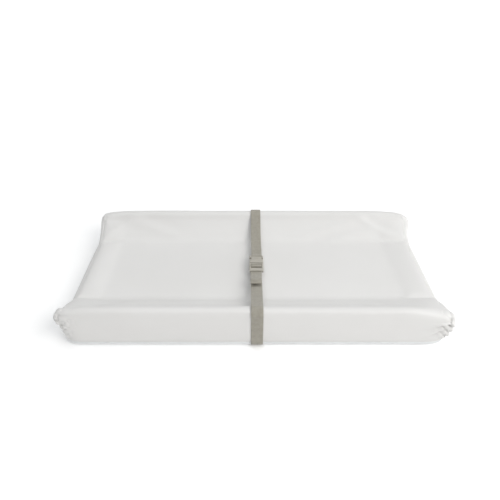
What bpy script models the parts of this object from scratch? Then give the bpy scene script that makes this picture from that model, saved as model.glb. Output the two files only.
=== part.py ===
"""A contoured changing pad with a buckled safety strap, in metres with +Z up.

The origin is on the floor under the pad's centre. X runs along the pad, -Y is its front, and the
pad rests on its bottom panel at z = 0. The foam is a slab with two bolsters inside a sewn cover,
whose left end opens with a zip. A two-part strap crosses the middle and is closed by a side-release
buckle. The pad's outer shape is one closed form, and each cover panel is cut from that form.
"""

import math

import bmesh
import bpy
from mathutils import Matrix, Vector

# The pad.
PAD_LENGTH = 0.813
PAD_DEPTH = 0.406
PAD_HEIGHT = 0.1016
VALLEY_HEIGHT = 0.055
SLOPE_ANGLE = math.radians(34)
RIDGE_RADIUS = 0.018
FOOT_RADIUS = 0.040
BASE_RADIUS = 0.014
END_RADIUS = 0.012

# The cover and the foam.
COVER_THICKNESS = 0.0012
BOTTOM_SKIN = 0.0007
SEAM_HEIGHT = 0.014
GAP = 0.0003
FOAM_END_SLACK = 0.0015
FOAM_TOE = 0.0015

# The webbing.
WEB_WIDTH = 0.025
WEB_THICKNESS = 0.0015
WEB_GAP = 0.0005
STRAP_X = 0.010
ANCHOR_LENGTH = 0.050
LEAVE_ANGLE = math.radians(25)
LEAVE_REACH = 0.036
RUN_START = 0.060
RUN_REACH = 0.028
HEM_LENGTH = 0.010
TAIL_END = 0.090
TAIL_RISE = 0.0045
SEWN_END = 0.058
SEWN_START = 0.034

# The buckle. Its parting line is where the plug's base meets the receiver's mouth.
BUCKLE_CLEARANCE = 0.0125
PARTING_Y = -0.005
BUCKLE_THICKNESS = 0.009
BUCKLE_ROUNDING = 0.0018
PLUG_ROUNDING = 0.0013
RAIL_WIDTH = 0.0035
RAIL_CLEARANCE = 0.0005
RECEIVER_LENGTH = 0.027
CAVITY_THICKNESS = 0.0052
SIDE_WALL = 0.003
BACK_WALL = 0.0015
BAR_THICKNESS = 0.003
RECEIVER_BAR = 0.0033
RECEIVER_SLOT = 0.0027
NOTCH_START = 0.0105
NOTCH_LENGTH = 0.008
NOTCH_DEPTH = 0.0045
PLUG_LENGTH = 0.031
END_BAR_THICKNESS = 0.0030
PLUG_BOTTOM = 0.0010
PLUG_BASE = 0.0045
INNER_SLOT = 0.0045
MIDDLE_BAR = 0.0055
MIDDLE_BAR_THICKNESS = 0.0022
OUTER_SLOT = 0.0070
TONGUE_WIDTH = 0.006
TONGUE_CLEARANCE = 0.0035
TONGUE_THICKNESS = 0.0028
PRONG_TIP_CLEARANCE = 0.0008
PRONG_WIDTH = 0.003
PRONG_CLEARANCE = 0.0006
PRONG_ROOT_GAP = 0.0002
THUMB_REACH = 0.0010
LOOP_TURN = 0.0012

# The zip in the left end.
ZIP_MARGIN = 0.068
ZIP_OPENING = 0.013
TAPE_THICKNESS = 0.0006
TAPE_DEPTH = 0.0006
COIL_WIDTH = 0.0016
COIL_THICKNESS = 0.0014
COIL_SLIT = 0.0012
STOP_LENGTH = 0.0025
SLIDER_LENGTH = 0.009
SLIDER_WIDTH = 0.0076
SLIDER_OUTER = 0.0012
SLIDER_INNER = 0.0008
SLIDER_POST = 0.0006
BAIL_LENGTH = 0.0062
BAIL_WIDTH = 0.0016
BAIL_THICKNESS = 0.0008
PULL_LENGTH = 0.022
PULL_WIDTH = 0.0060
PULL_THICKNESS = 0.0010
PULL_HOLE_LENGTH = 0.0036
PULL_HOLE_WIDTH = 0.0034

# Values that follow from the ones above.
HALF_LENGTH = PAD_LENGTH / 2
HALF_DEPTH = PAD_DEPTH / 2
BOTTOM_THICKNESS = GAP + WEB_THICKNESS + WEB_GAP + BOTTOM_SKIN
FOAM_INSET = BOTTOM_THICKNESS + GAP
FOAM_SPLIT = VALLEY_HEIGHT - FOAM_INSET + FOAM_TOE
BUCKLE_HEIGHT = VALLEY_HEIGHT + BUCKLE_CLEARANCE + BUCKLE_THICKNESS / 2
BUCKLE_HALF = WEB_WIDTH / 2 + RAIL_CLEARANCE + RAIL_WIDTH
CAVITY_DEPTH = RECEIVER_LENGTH - RECEIVER_BAR - RECEIVER_SLOT - BACK_WALL
PRONG_THICKNESS = CAVITY_THICKNESS - 2 * PRONG_CLEARANCE
LOAD_Z = BUCKLE_HEIGHT - BAR_THICKNESS / 2 - GAP - WEB_THICKNESS / 2
LAYER = WEB_THICKNESS + GAP
TAIL_Z = LOAD_Z + LAYER
PLUG_BAR_BOTTOM = TAIL_Z + WEB_THICKNESS / 2 + GAP
PLUG_END = PARTING_Y - PLUG_LENGTH
MIDDLE_BAR_REAR = PARTING_Y - PLUG_BASE - INNER_SLOT
MIDDLE_BAR_FRONT = MIDDLE_BAR_REAR - MIDDLE_BAR
RECEIVER_BACK = PARTING_Y + RECEIVER_LENGTH
BAR_FRONT = RECEIVER_BACK - RECEIVER_BAR
TAIL_HINGE_Y = PLUG_END - WEB_THICKNESS / 2 - WEB_GAP
TAIL_HINGE_Z = TAIL_Z + WEB_THICKNESS / 2
WEB_OFFSET = WEB_GAP + WEB_THICKNESS / 2
ZIP_LENGTH = PAD_DEPTH - 2 * ZIP_MARGIN
ZIP_HEIGHT = SEAM_HEIGHT + ZIP_OPENING / 2
SLIDER_Y = ZIP_LENGTH / 2 - SLIDER_LENGTH / 2 - GAP
OUTER_PLATE_X = -HALF_LENGTH + TAPE_DEPTH + TAPE_THICKNESS / 2 - COIL_THICKNESS / 2 - GAP
PULL_BAR_X = OUTER_PLATE_X - SLIDER_OUTER - GAP - PULL_THICKNESS / 2

# Colours are linear RGB; each material is (colour, roughness, metallic).
MATERIALS = {
    "cover": ((0.80, 0.79, 0.77), 0.55, 0.0),
    "bottom_fabric": ((0.74, 0.75, 0.76), 0.75, 0.0),
    "foam": ((0.86, 0.84, 0.74), 0.95, 0.0),
    "webbing": ((0.34, 0.32, 0.27), 0.80, 0.0),
    "buckle_plastic": ((0.43, 0.41, 0.36), 0.40, 0.0),
    "zip_tape": ((0.72, 0.72, 0.70), 0.85, 0.0),
    "zip_coil": ((0.70, 0.70, 0.68), 0.35, 0.0),
    "zip_metal": ((0.62, 0.62, 0.60), 0.30, 1.0),
}

parts = bpy.data.collections.new("changing_pad")
cutters = bpy.data.collections.new("cutters")


def clear_scene():
    for obj in list(bpy.data.objects):
        bpy.data.objects.remove(obj, do_unlink=True)
    bpy.context.scene.collection.children.link(parts)
    bpy.context.scene.collection.children.link(cutters)


def make_material(name):
    colour, roughness, metallic = MATERIALS[name]
    material = bpy.data.materials.new(name)
    material.use_nodes = True
    shader = material.node_tree.nodes["Principled BSDF"]
    shader.inputs["Base Color"].default_value = (*colour, 1.0)
    shader.inputs["Roughness"].default_value = roughness
    shader.inputs["Metallic"].default_value = metallic
    material.diffuse_color = (*colour, 1.0)


# Points on lines, arcs and curves in the (y, z) plane.


def arc(centre, radius, start, end, steps):
    """Points from the angle start to the angle end, in radians."""
    angles = [start + (end - start) * i / steps for i in range(steps + 1)]
    return [(centre[0] + radius * math.cos(a), centre[1] + radius * math.sin(a)) for a in angles]


def bezier(points, steps):
    p0, p1, p2, p3 = (Vector(p) for p in points)
    curve = []
    for i in range(steps + 1):
        t = i / steps
        s = 1 - t
        curve.append(tuple(s**3 * p0 + 3 * s * s * t * p1 + 3 * s * t * t * p2 + t**3 * p3))
    return curve


def mirrored(points):
    return [(-y, z) for y, z in points]


def interpolated(path, y):
    """The height of a path at y."""
    for (y0, z0), (y1, z1) in zip(path, path[1:]):
        if y0 <= y <= y1:
            return z0 + (z1 - z0) * (y - y0) / (y1 - y0)
    return path[-1][1]


# The pad's outer form.

RIDGE_CENTRE = (-HALF_DEPTH + RIDGE_RADIUS, PAD_HEIGHT - RIDGE_RADIUS)


def foot_centre():
    """The centre of the round foot that joins the bolster's slope to the middle."""
    sine = math.sin(SLOPE_ANGLE)
    cosine = math.cos(SLOPE_ANGLE)
    start_y = RIDGE_CENTRE[0] + RIDGE_RADIUS * sine
    start_z = RIDGE_CENTRE[1] + RIDGE_RADIUS * cosine
    z = VALLEY_HEIGHT + FOOT_RADIUS
    return (start_y + (FOOT_RADIUS - (z - start_z) * cosine) / sine, z)


def outline(inset):
    """The closed cross-section, moved inwards by inset, from the front bottom edge over to the rear."""
    base = arc(
        (-HALF_DEPTH + BASE_RADIUS, BASE_RADIUS), BASE_RADIUS - inset, 1.5 * math.pi, math.pi, 5
    )
    ridge = arc(RIDGE_CENTRE, RIDGE_RADIUS - inset, math.pi, math.pi / 2 - SLOPE_ANGLE, 9)
    foot = arc(foot_centre(), FOOT_RADIUS + inset, 1.5 * math.pi - SLOPE_ANGLE, 1.5 * math.pi, 5)
    front = base + ridge + foot
    return front + mirrored(front)[::-1]


def form(inset, end_slack=0.0):
    """The whole pad as a closed bmesh, moved inwards by inset, with rounded ends."""
    rounding = END_RADIUS - inset
    steps = 4
    right = []
    for i in range(steps + 1):
        angle = math.pi / 2 * i / steps
        x = HALF_LENGTH - inset - end_slack - rounding * (1 - math.sin(angle))
        right.append((x, inset + rounding * (1 - math.cos(angle))))
    left = [(-x, local_inset) for x, local_inset in reversed(right)]
    bm = bmesh.new()
    rings = []
    for x, local_inset in left + right:
        rings.append([bm.verts.new((x, y, z)) for y, z in outline(local_inset)])
    for first, second in zip(rings, rings[1:]):
        for i in range(len(first)):
            j = (i + 1) % len(first)
            bm.faces.new((first[i], first[j], second[j], second[i]))
    bm.faces.new(rings[0])
    bm.faces.new(rings[-1])
    bmesh.ops.recalc_face_normals(bm, faces=bm.faces)
    return bm


def cut_away(bm, point, normal, close):
    """Removes what lies on the normal's side of the plane, and closes the cut if asked."""
    result = bmesh.ops.bisect_plane(
        bm,
        geom=bm.verts[:] + bm.edges[:] + bm.faces[:],
        plane_co=point,
        plane_no=normal,
        clear_outer=True,
    )
    if close:
        edges = [item for item in result["geom_cut"] if isinstance(item, bmesh.types.BMEdge)]
        bmesh.ops.holes_fill(bm, edges=edges)
        bmesh.ops.recalc_face_normals(bm, faces=bm.faces)


# Objects.


def add_object(name, mesh, material, smooth=True):
    obj = bpy.data.objects.new(name, mesh)
    mesh.materials.append(bpy.data.materials[material])
    if smooth:
        mesh.shade_smooth()
        mesh.set_sharp_from_angle(angle=math.radians(35))
    parts.objects.link(obj)
    return obj


def object_from(bm, name, material, smooth=True):
    mesh = bpy.data.meshes.new(name)
    bm.to_mesh(mesh)
    bm.free()
    return add_object(name, mesh, material, smooth)


def solidify(obj, thickness, offset):
    modifier = obj.modifiers.new("thickness", "SOLIDIFY")
    modifier.thickness = thickness
    modifier.offset = offset
    modifier.use_even_offset = True


def bevel(obj, width, segments=2):
    modifier = obj.modifiers.new("rounded", "BEVEL")
    modifier.width = width
    modifier.segments = segments
    modifier.limit_method = "ANGLE"
    modifier.angle_limit = math.radians(40)


def boolean(obj, other, operation="DIFFERENCE"):
    modifier = obj.modifiers.new(operation.lower(), "BOOLEAN")
    modifier.object = other
    modifier.operation = operation
    modifier.solver = "EXACT"


def make_helper(obj):
    parts.objects.unlink(obj)
    cutters.objects.link(obj)
    obj.hide_render = True
    obj.display_type = "WIRE"
    return obj


def box(name, low, high, material):
    low = Vector(low)
    high = Vector(high)
    bm = bmesh.new()
    bmesh.ops.create_cube(bm, size=1.0)
    bmesh.ops.scale(bm, vec=high - low, verts=bm.verts)
    bmesh.ops.translate(bm, vec=(low + high) / 2, verts=bm.verts)
    return object_from(bm, name, material, smooth=False)


def cutter_box(name, low, high, material="buckle_plastic"):
    return make_helper(box(name, low, high, material))


def plate(name, points, low_z, high_z, material):
    """A flat outline in the XY plane, extruded from low_z to high_z."""
    curve = bpy.data.curves.new(name + "_outline", "CURVE")
    curve.dimensions = "2D"
    curve.fill_mode = "BOTH"
    curve.extrude = (high_z - low_z) / 2
    spline = curve.splines.new("POLY")
    spline.points.add(len(points) - 1)
    for point, (x, y) in zip(spline.points, points):
        point.co = (x, y, 0, 1)
    spline.use_cyclic_u = True
    outline_object = bpy.data.objects.new(name + "_outline", curve)
    cutters.objects.link(outline_object)
    bpy.context.view_layer.update()
    graph = bpy.context.evaluated_depsgraph_get()
    mesh = bpy.data.meshes.new_from_object(outline_object.evaluated_get(graph))
    bpy.data.objects.remove(outline_object, do_unlink=True)
    bm = bmesh.new()
    bm.from_mesh(mesh)
    bmesh.ops.remove_doubles(bm, verts=bm.verts, dist=1e-6)
    bmesh.ops.translate(bm, vec=(0, 0, (low_z + high_z) / 2), verts=bm.verts)
    bmesh.ops.recalc_face_normals(bm, faces=bm.faces)
    mesh.clear_geometry()
    return object_from(bm, name, material, smooth=False)


def strip(name, path, material="webbing", width=WEB_WIDTH, thickness=WEB_THICKNESS):
    """A flat strap whose centre line is path, in (y, z), across the pad at STRAP_X."""
    bm = bmesh.new()
    left = [bm.verts.new((STRAP_X - width / 2, y, z)) for y, z in path]
    right = [bm.verts.new((STRAP_X + width / 2, y, z)) for y, z in path]
    for i in range(len(path) - 1):
        bm.faces.new((left[i], right[i], right[i + 1], left[i + 1]))
    obj = object_from(bm, name, material)
    solidify(obj, thickness, 0.0)
    return obj


def put_origin(obj, point):
    """Moves the object's origin to a point on its joint's axis."""
    obj.data.transform(Matrix.Translation(-Vector(point)))
    obj.location = point


# The foam.


def build_foam():
    base = form(FOAM_INSET, FOAM_END_SLACK)
    cut_away(base, (0, 0, FOAM_SPLIT), (0, 0, 1), close=True)
    object_from(base, "foam_base", "foam")
    for name, side in (("foam_bolster_front", 1), ("foam_bolster_rear", -1)):
        bolster = form(FOAM_INSET, FOAM_END_SLACK)
        cut_away(bolster, (0, 0, FOAM_SPLIT + GAP), (0, 0, -1), close=True)
        cut_away(bolster, (0, 0, 0), (0, side, 0), close=False)
        object_from(bolster, name, "foam")


# The cover.


def cover_panel(name, cuts, thickness, material):
    """A piece of the outer form, cut by planes and given its thickness inwards."""
    bm = form(0.0)
    for point, normal in cuts:
        cut_away(bm, point, normal, close=False)
    obj = object_from(bm, name, material)
    solidify(obj, thickness, -1.0)
    return obj


def build_cover():
    end_seam = HALF_LENGTH - END_RADIUS
    half_gap = GAP / 2
    above = ((0, 0, SEAM_HEIGHT + half_gap), (0, 0, -1))
    cover_panel(
        "cover_main_panel",
        [
            above,
            ((end_seam - half_gap, 0, 0), (1, 0, 0)),
            ((-end_seam + half_gap, 0, 0), (-1, 0, 0)),
        ],
        COVER_THICKNESS,
        "cover",
    )
    left = cover_panel(
        "cover_end_left",
        [above, ((-end_seam - half_gap, 0, 0), (1, 0, 0))],
        COVER_THICKNESS,
        "cover",
    )
    cover_panel(
        "cover_end_right",
        [above, ((end_seam + half_gap, 0, 0), (-1, 0, 0))],
        COVER_THICKNESS,
        "cover",
    )
    tape_end = ZIP_LENGTH / 2 + STOP_LENGTH + 2 * GAP
    opening = cutter_box(
        "zip_opening",
        (-HALF_LENGTH - END_RADIUS / 2, -tape_end - GAP, SEAM_HEIGHT - END_RADIUS / 2),
        (-HALF_LENGTH + END_RADIUS / 2, tape_end + GAP, SEAM_HEIGHT + ZIP_OPENING),
        "cover",
    )
    boolean(left, opening)

    bottom = cover_panel(
        "bottom_panel",
        [((0, 0, SEAM_HEIGHT - half_gap), (0, 0, 1))],
        BOTTOM_THICKNESS,
        "bottom_fabric",
    )
    for side, path in (("front", anchor_path()), ("rear", mirrored(anchor_path()))):
        inner = Vector(path[0]) + Vector((-GAP if side == "rear" else GAP, 0))
        recess = strip(
            "recess_" + side,
            [tuple(inner)] + path,
            "bottom_fabric",
            WEB_WIDTH + 2 * GAP,
            WEB_THICKNESS + 2 * WEB_GAP,
        )
        boolean(bottom, make_helper(recess))


# The zip in the left end.


def build_zip():
    tape_x = -HALF_LENGTH + TAPE_DEPTH
    middle_x = tape_x + TAPE_THICKNESS / 2
    coil_low = middle_x - COIL_THICKNESS / 2
    coil_high = middle_x + COIL_THICKNESS / 2
    half_zip = ZIP_LENGTH / 2
    tape_end = half_zip + STOP_LENGTH + GAP
    coil_edge = COIL_SLIT / 2 + COIL_WIDTH
    for name, side in (("upper", 1), ("lower", -1)):
        coil_z = sorted((ZIP_HEIGHT + side * COIL_SLIT / 2, ZIP_HEIGHT + side * coil_edge))
        coil = box(
            "zip_coil_" + name,
            (coil_low, -half_zip, coil_z[0]),
            (coil_high, half_zip, coil_z[1]),
            "zip_coil",
        )
        bevel(coil, COIL_THICKNESS / 4)
        tape_z = sorted(
            (ZIP_HEIGHT + side * (coil_edge + GAP), ZIP_HEIGHT + side * (ZIP_OPENING / 2 - GAP))
        )
        box(
            "zip_tape_" + name,
            (tape_x, -tape_end, tape_z[0]),
            (tape_x + TAPE_THICKNESS, tape_end, tape_z[1]),
            "zip_tape",
        )
    for name, side in (("closed_end", 1), ("open_end", -1)):
        ends = sorted((side * (half_zip + GAP), side * (half_zip + STOP_LENGTH)))
        stop = box(
            "zip_stop_" + name,
            (coil_low, ends[0], ZIP_HEIGHT - coil_edge),
            (coil_high, ends[1], ZIP_HEIGHT + coil_edge),
            "zip_metal",
        )
        bevel(stop, COIL_THICKNESS / 4)
    build_slider(coil_high)
    build_pull()


def build_slider(coil_back):
    """Two plates joined by a post in the coils' slit, with a bail in front that holds the pull."""
    half = SLIDER_LENGTH / 2
    half_width = SLIDER_WIDTH / 2
    outer_front = OUTER_PLATE_X - SLIDER_OUTER
    slider = box(
        "zip_slider",
        (outer_front, SLIDER_Y - half, ZIP_HEIGHT - half_width),
        (OUTER_PLATE_X, SLIDER_Y + half, ZIP_HEIGHT + half_width),
        "zip_metal",
    )
    bevel(slider, SLIDER_OUTER / 4)
    inner_back = coil_back + GAP + SLIDER_INNER
    inner = cutter_box(
        "slider_inner_plate",
        (coil_back + GAP, SLIDER_Y - half, ZIP_HEIGHT - half_width),
        (inner_back, SLIDER_Y + half, ZIP_HEIGHT + half_width),
    )
    boolean(slider, inner, "UNION")
    overlap = SLIDER_INNER / 2
    post = cutter_box(
        "slider_post",
        (OUTER_PLATE_X - overlap, SLIDER_Y + half / 2, ZIP_HEIGHT - SLIDER_POST / 2),
        (inner_back - overlap, SLIDER_Y + half - overlap, ZIP_HEIGHT + SLIDER_POST / 2),
    )
    boolean(slider, post, "UNION")
    bail_top = PULL_BAR_X - PULL_THICKNESS / 2 - GAP - BAIL_THICKNESS
    bail = cutter_box(
        "slider_bail",
        (bail_top, SLIDER_Y - BAIL_LENGTH / 2, ZIP_HEIGHT - BAIL_WIDTH / 2),
        (outer_front + overlap, SLIDER_Y + BAIL_LENGTH / 2, ZIP_HEIGHT + BAIL_WIDTH / 2),
    )
    hollow = cutter_box(
        "bail_hollow",
        (bail_top + BAIL_THICKNESS, SLIDER_Y - BAIL_LENGTH / 2 + BAIL_THICKNESS, 0),
        (outer_front, SLIDER_Y + BAIL_LENGTH / 2 - BAIL_THICKNESS, 2 * ZIP_HEIGHT),
    )
    boolean(slider, bail, "UNION")
    boolean(slider, hollow)
    put_origin(slider, (outer_front, SLIDER_Y, ZIP_HEIGHT))


def build_pull():
    """A flat tab whose end bar turns inside the slider's bail."""
    bar = PULL_THICKNESS
    low_y = SLIDER_Y + bar / 2 - PULL_LENGTH
    pull = box(
        "zip_pull",
        (PULL_BAR_X - PULL_THICKNESS / 2, low_y, ZIP_HEIGHT - PULL_WIDTH / 2),
        (PULL_BAR_X + PULL_THICKNESS / 2, SLIDER_Y + bar / 2, ZIP_HEIGHT + PULL_WIDTH / 2),
        "zip_metal",
    )
    hole = cutter_box(
        "pull_hole",
        (PULL_BAR_X - bar, SLIDER_Y - bar / 2 - PULL_HOLE_LENGTH, ZIP_HEIGHT - PULL_HOLE_WIDTH / 2),
        (PULL_BAR_X + bar, SLIDER_Y - bar / 2, ZIP_HEIGHT + PULL_HOLE_WIDTH / 2),
    )
    boolean(pull, hole)
    bevel(pull, PULL_THICKNESS / 6)
    put_origin(pull, (PULL_BAR_X, SLIDER_Y, ZIP_HEIGHT))


# The webbing.


def anchor_path():
    """The front strap's centre line from its sewn end under the pad to the foot of the front wall."""
    floor_z = GAP + WEB_THICKNESS / 2
    turn = BASE_RADIUS + WEB_OFFSET
    corner_y = -HALF_DEPTH + BASE_RADIUS
    start = (corner_y + ANCHOR_LENGTH, floor_z)
    return [start] + arc((corner_y, floor_z + turn), turn, 1.5 * math.pi, math.pi, 6)


def span_path(end_y):
    """The front strap's centre line from the wall, over the ridge and down to the buckle at end_y."""
    ridge = arc(
        RIDGE_CENTRE, RIDGE_RADIUS + WEB_OFFSET, math.pi, math.pi / 2 - LEAVE_ANGLE, 9
    )
    down = Vector((math.cos(LEAVE_ANGLE), -math.sin(LEAVE_ANGLE)))
    run = bezier(
        (
            ridge[-1],
            Vector(ridge[-1]) + LEAVE_REACH * down,
            (-RUN_START - RUN_REACH, LOAD_Z),
            (-RUN_START, LOAD_Z),
        ),
        12,
    )
    return ridge + run[1:] + ([(end_y, LOAD_Z)] if end_y > -RUN_START else [])


def build_webbing():
    front_end = MIDDLE_BAR_REAR - GAP
    strip("front_webbing", anchor_path() + span_path(front_end))
    strip("rear_webbing", mirrored(anchor_path() + span_path(-RUN_START)))

    # The rear webbing's end is folded round the receiver's bar and sewn back on itself.
    turn = GAP + WEB_THICKNESS / 2
    bar_top = BUCKLE_HEIGHT + BAR_THICKNESS / 2
    bar_bottom = BUCKLE_HEIGHT - BAR_THICKNESS / 2
    loop = [(RUN_START - GAP, LOAD_Z)]
    loop += arc((BAR_FRONT, bar_bottom), turn, 1.5 * math.pi, math.pi, 3)
    loop += arc((BAR_FRONT, bar_top), turn, math.pi, math.pi / 2, 3)
    back = (RECEIVER_BACK, bar_top + turn)
    sewn = (SEWN_START, LOAD_Z + LAYER)
    ease = (SEWN_START - RECEIVER_BACK) / 2
    loop += bezier((back, (back[0] + ease, back[1]), (sewn[0] - ease, sewn[1]), sewn), 5)
    loop.append((SEWN_END, LOAD_Z + LAYER))
    strip("rear_webbing_loop", loop)

    # The front webbing goes up behind the middle bar, over it, and out under the end bar.
    bar_top = PLUG_BAR_BOTTOM + MIDDLE_BAR_THICKNESS
    up_y = MIDDLE_BAR_REAR + turn
    down_y = MIDDLE_BAR_FRONT - turn
    adjuster = arc((up_y - LOOP_TURN, LOAD_Z + LOOP_TURN), LOOP_TURN, 1.5 * math.pi, 2 * math.pi, 4)
    adjuster += arc((MIDDLE_BAR_REAR, bar_top), turn, 0, math.pi / 2, 3)
    adjuster += arc((MIDDLE_BAR_FRONT, bar_top), turn, math.pi / 2, math.pi, 3)
    adjuster += arc((down_y - LOOP_TURN, TAIL_Z + LOOP_TURN), LOOP_TURN, 0, -math.pi / 2, 4)
    adjuster.append((TAIL_HINGE_Y + GAP, TAIL_Z))
    strip("adjuster_loop", adjuster)
    build_tail()


def build_tail():
    """The strap's free end, which lies on the strap and rises a little to its folded hem."""
    start = (TAIL_HINGE_Y - GAP, TAIL_Z)
    run = span_path(-RUN_START)
    run_z = interpolated(run, -TAIL_END)
    end = (-TAIL_END, run_z + LAYER + TAIL_RISE)
    reach = (TAIL_END + start[0]) / 3
    slope = (end[1] - start[1]) / (end[0] - start[0])
    upper = bezier(
        (start, (start[0] - reach, start[1]), (end[0] + reach, end[1] - slope * reach), end), 10
    )
    along = (Vector(upper[-1]) - Vector(upper[-2])).normalized()
    down = Vector((-along.y, along.x))
    tip = Vector(end)
    folded = tip + down * LAYER
    centre = (tip + folded) / 2
    turn = LAYER / 2
    hem = []
    steps = 5
    for i in range(1, steps):
        angle = math.pi * i / steps
        hem.append(tuple(centre - down * turn * math.cos(angle) + along * turn * math.sin(angle)))
    hem.append(tuple(folded))
    hem.append(tuple(folded - along * HEM_LENGTH))
    tail = strip("webbing_tail", upper + hem)
    put_origin(tail, (STRAP_X, TAIL_HINGE_Y, TAIL_HINGE_Z))


# The buckle.


def buckle_box(name, x_half, y_range, z_range):
    """A cutter across the strap, x_half to each side of it."""
    return cutter_box(
        name,
        (STRAP_X - x_half, min(y_range), min(z_range)),
        (STRAP_X + x_half, max(y_range), max(z_range)),
    )


def build_receiver():
    far = BUCKLE_THICKNESS
    centre = BUCKLE_HEIGHT
    half = BUCKLE_THICKNESS / 2
    receiver = box(
        "buckle_receiver",
        (STRAP_X - BUCKLE_HALF, PARTING_Y, centre - half),
        (STRAP_X + BUCKLE_HALF, RECEIVER_BACK, centre + half),
        "buckle_plastic",
    )
    bevel(receiver, BUCKLE_ROUNDING, 3)
    cavity_end = PARTING_Y + CAVITY_DEPTH
    mouth = (PARTING_Y - far, cavity_end)
    cavity_z = (centre - CAVITY_THICKNESS / 2, centre + CAVITY_THICKNESS / 2)
    inner = BUCKLE_HALF - SIDE_WALL
    boolean(receiver, buckle_box("receiver_cavity", inner, mouth, cavity_z))
    rail = BUCKLE_HALF - RAIL_WIDTH
    slot = (BAR_FRONT - RECEIVER_SLOT, BAR_FRONT)
    boolean(receiver, buckle_box("receiver_slot", rail, slot, (centre - far, centre + far)))
    bar_room = (BAR_FRONT - RECEIVER_SLOT, RECEIVER_BACK + far)
    bar_half = BAR_THICKNESS / 2
    boolean(receiver, buckle_box("over_bar", rail, bar_room, (centre + bar_half, centre + far)))
    boolean(receiver, buckle_box("under_bar", rail, bar_room, (centre - far, centre - bar_half)))
    notch_start = PARTING_Y + NOTCH_START
    for name, side in (("left", -1), ("right", 1)):
        edges = sorted((side * (BUCKLE_HALF - NOTCH_DEPTH), side * (BUCKLE_HALF + far)))
        notch = cutter_box(
            "notch_" + name,
            (STRAP_X + edges[0], notch_start, centre - far),
            (STRAP_X + edges[1], notch_start + NOTCH_LENGTH, centre + far),
        )
        boolean(receiver, notch)
    put_origin(receiver, (STRAP_X, PARTING_Y, BUCKLE_HEIGHT))


def build_plug():
    top = PLUG_BAR_BOTTOM + END_BAR_THICKNESS
    bottom = LOAD_Z - PLUG_BOTTOM
    far = BUCKLE_THICKNESS
    front = PARTING_Y - GAP
    plug = box(
        "buckle_plug",
        (STRAP_X - BUCKLE_HALF, PLUG_END, bottom),
        (STRAP_X + BUCKLE_HALF, front, top),
        "buckle_plastic",
    )
    bevel(plug, PLUG_ROUNDING, 3)
    rail = BUCKLE_HALF - RAIL_WIDTH
    base_front = PARTING_Y - PLUG_BASE
    under = (bottom - far, PLUG_BAR_BOTTOM)
    boolean(plug, buckle_box("under_bars", rail, (PLUG_END - far, base_front), under))
    through = (bottom - far, top + far)
    boolean(plug, buckle_box("inner_slot", rail, (MIDDLE_BAR_REAR, base_front), through))
    outer = (MIDDLE_BAR_FRONT - OUTER_SLOT, MIDDLE_BAR_FRONT)
    boolean(plug, buckle_box("outer_slot", rail, outer, through))
    over = (PLUG_BAR_BOTTOM + MIDDLE_BAR_THICKNESS, top + far)
    boolean(plug, buckle_box("over_middle_bar", rail, (outer[1] - GAP, MIDDLE_BAR_REAR + GAP), over))
    half = TONGUE_WIDTH / 2
    tongue_start = front - PLUG_BASE / 2
    tongue_end = PARTING_Y + CAVITY_DEPTH - TONGUE_CLEARANCE
    tongue = plate(
        "plug_tongue",
        [
            (STRAP_X - half, tongue_start),
            (STRAP_X + half, tongue_start),
            (STRAP_X + half, tongue_end - half),
            (STRAP_X + half / 2, tongue_end),
            (STRAP_X - half / 2, tongue_end),
            (STRAP_X - half, tongue_end - half),
        ],
        BUCKLE_HEIGHT - TONGUE_THICKNESS / 2,
        BUCKLE_HEIGHT + TONGUE_THICKNESS / 2,
        "buckle_plastic",
    )
    boolean(plug, make_helper(tongue), "UNION")
    put_origin(plug, (STRAP_X, PARTING_Y, BUCKLE_HEIGHT))


def build_prongs():
    """Two springy arms that run into the receiver, with thumb pads that stand in its notches."""
    root = PARTING_Y
    tip = root + CAVITY_DEPTH - PRONG_TIP_CLEARANCE
    wall = BUCKLE_HALF - SIDE_WALL
    outer = wall - 2 * GAP
    inner = outer - PRONG_WIDTH
    thumb = BUCKLE_HALF - THUMB_REACH
    shoulder = root + NOTCH_START + 2 * GAP
    thumb_end = root + NOTCH_START + NOTCH_LENGTH - 2 * GAP
    for name, side in (("left", -1), ("right", 1)):
        points = [
            (inner - PRONG_WIDTH / 2, root + PRONG_ROOT_GAP),
            (outer - PRONG_WIDTH / 2, root + PRONG_ROOT_GAP),
            (outer - PRONG_WIDTH / 4, shoulder - PRONG_WIDTH),
            (outer - PRONG_WIDTH / 4, shoulder),
            (outer + THUMB_REACH, shoulder),
            (thumb, (shoulder + thumb_end) / 2),
            (outer, thumb_end),
            (outer - PRONG_WIDTH / 2, tip),
            (inner, tip),
            (inner - PRONG_WIDTH / 4, shoulder),
        ]
        prong = plate(
            "prong_" + name,
            [(STRAP_X + side * x, y) for x, y in points],
            BUCKLE_HEIGHT - PRONG_THICKNESS / 2,
            BUCKLE_HEIGHT + PRONG_THICKNESS / 2,
            "buckle_plastic",
        )
        bevel(prong, PRONG_THICKNESS / 10)
        middle = (inner + outer - PRONG_WIDTH) / 2
        put_origin(prong, (STRAP_X + side * middle, root, BUCKLE_HEIGHT))


clear_scene()
for material_name in MATERIALS:
    make_material(material_name)
build_foam()
build_cover()
build_zip()
build_webbing()
build_receiver()
build_plug()
build_prongs()
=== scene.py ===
"""The looks of the contoured changing pad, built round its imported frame. Metres, +Z up."""

from math import ceil, cos, exp, pi, radians, sin, sqrt

import bmesh
import bpy
import numpy as np
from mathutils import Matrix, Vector, noise
from mathutils.bvhtree import BVHTree
from mathutils.kdtree import KDTree


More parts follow.
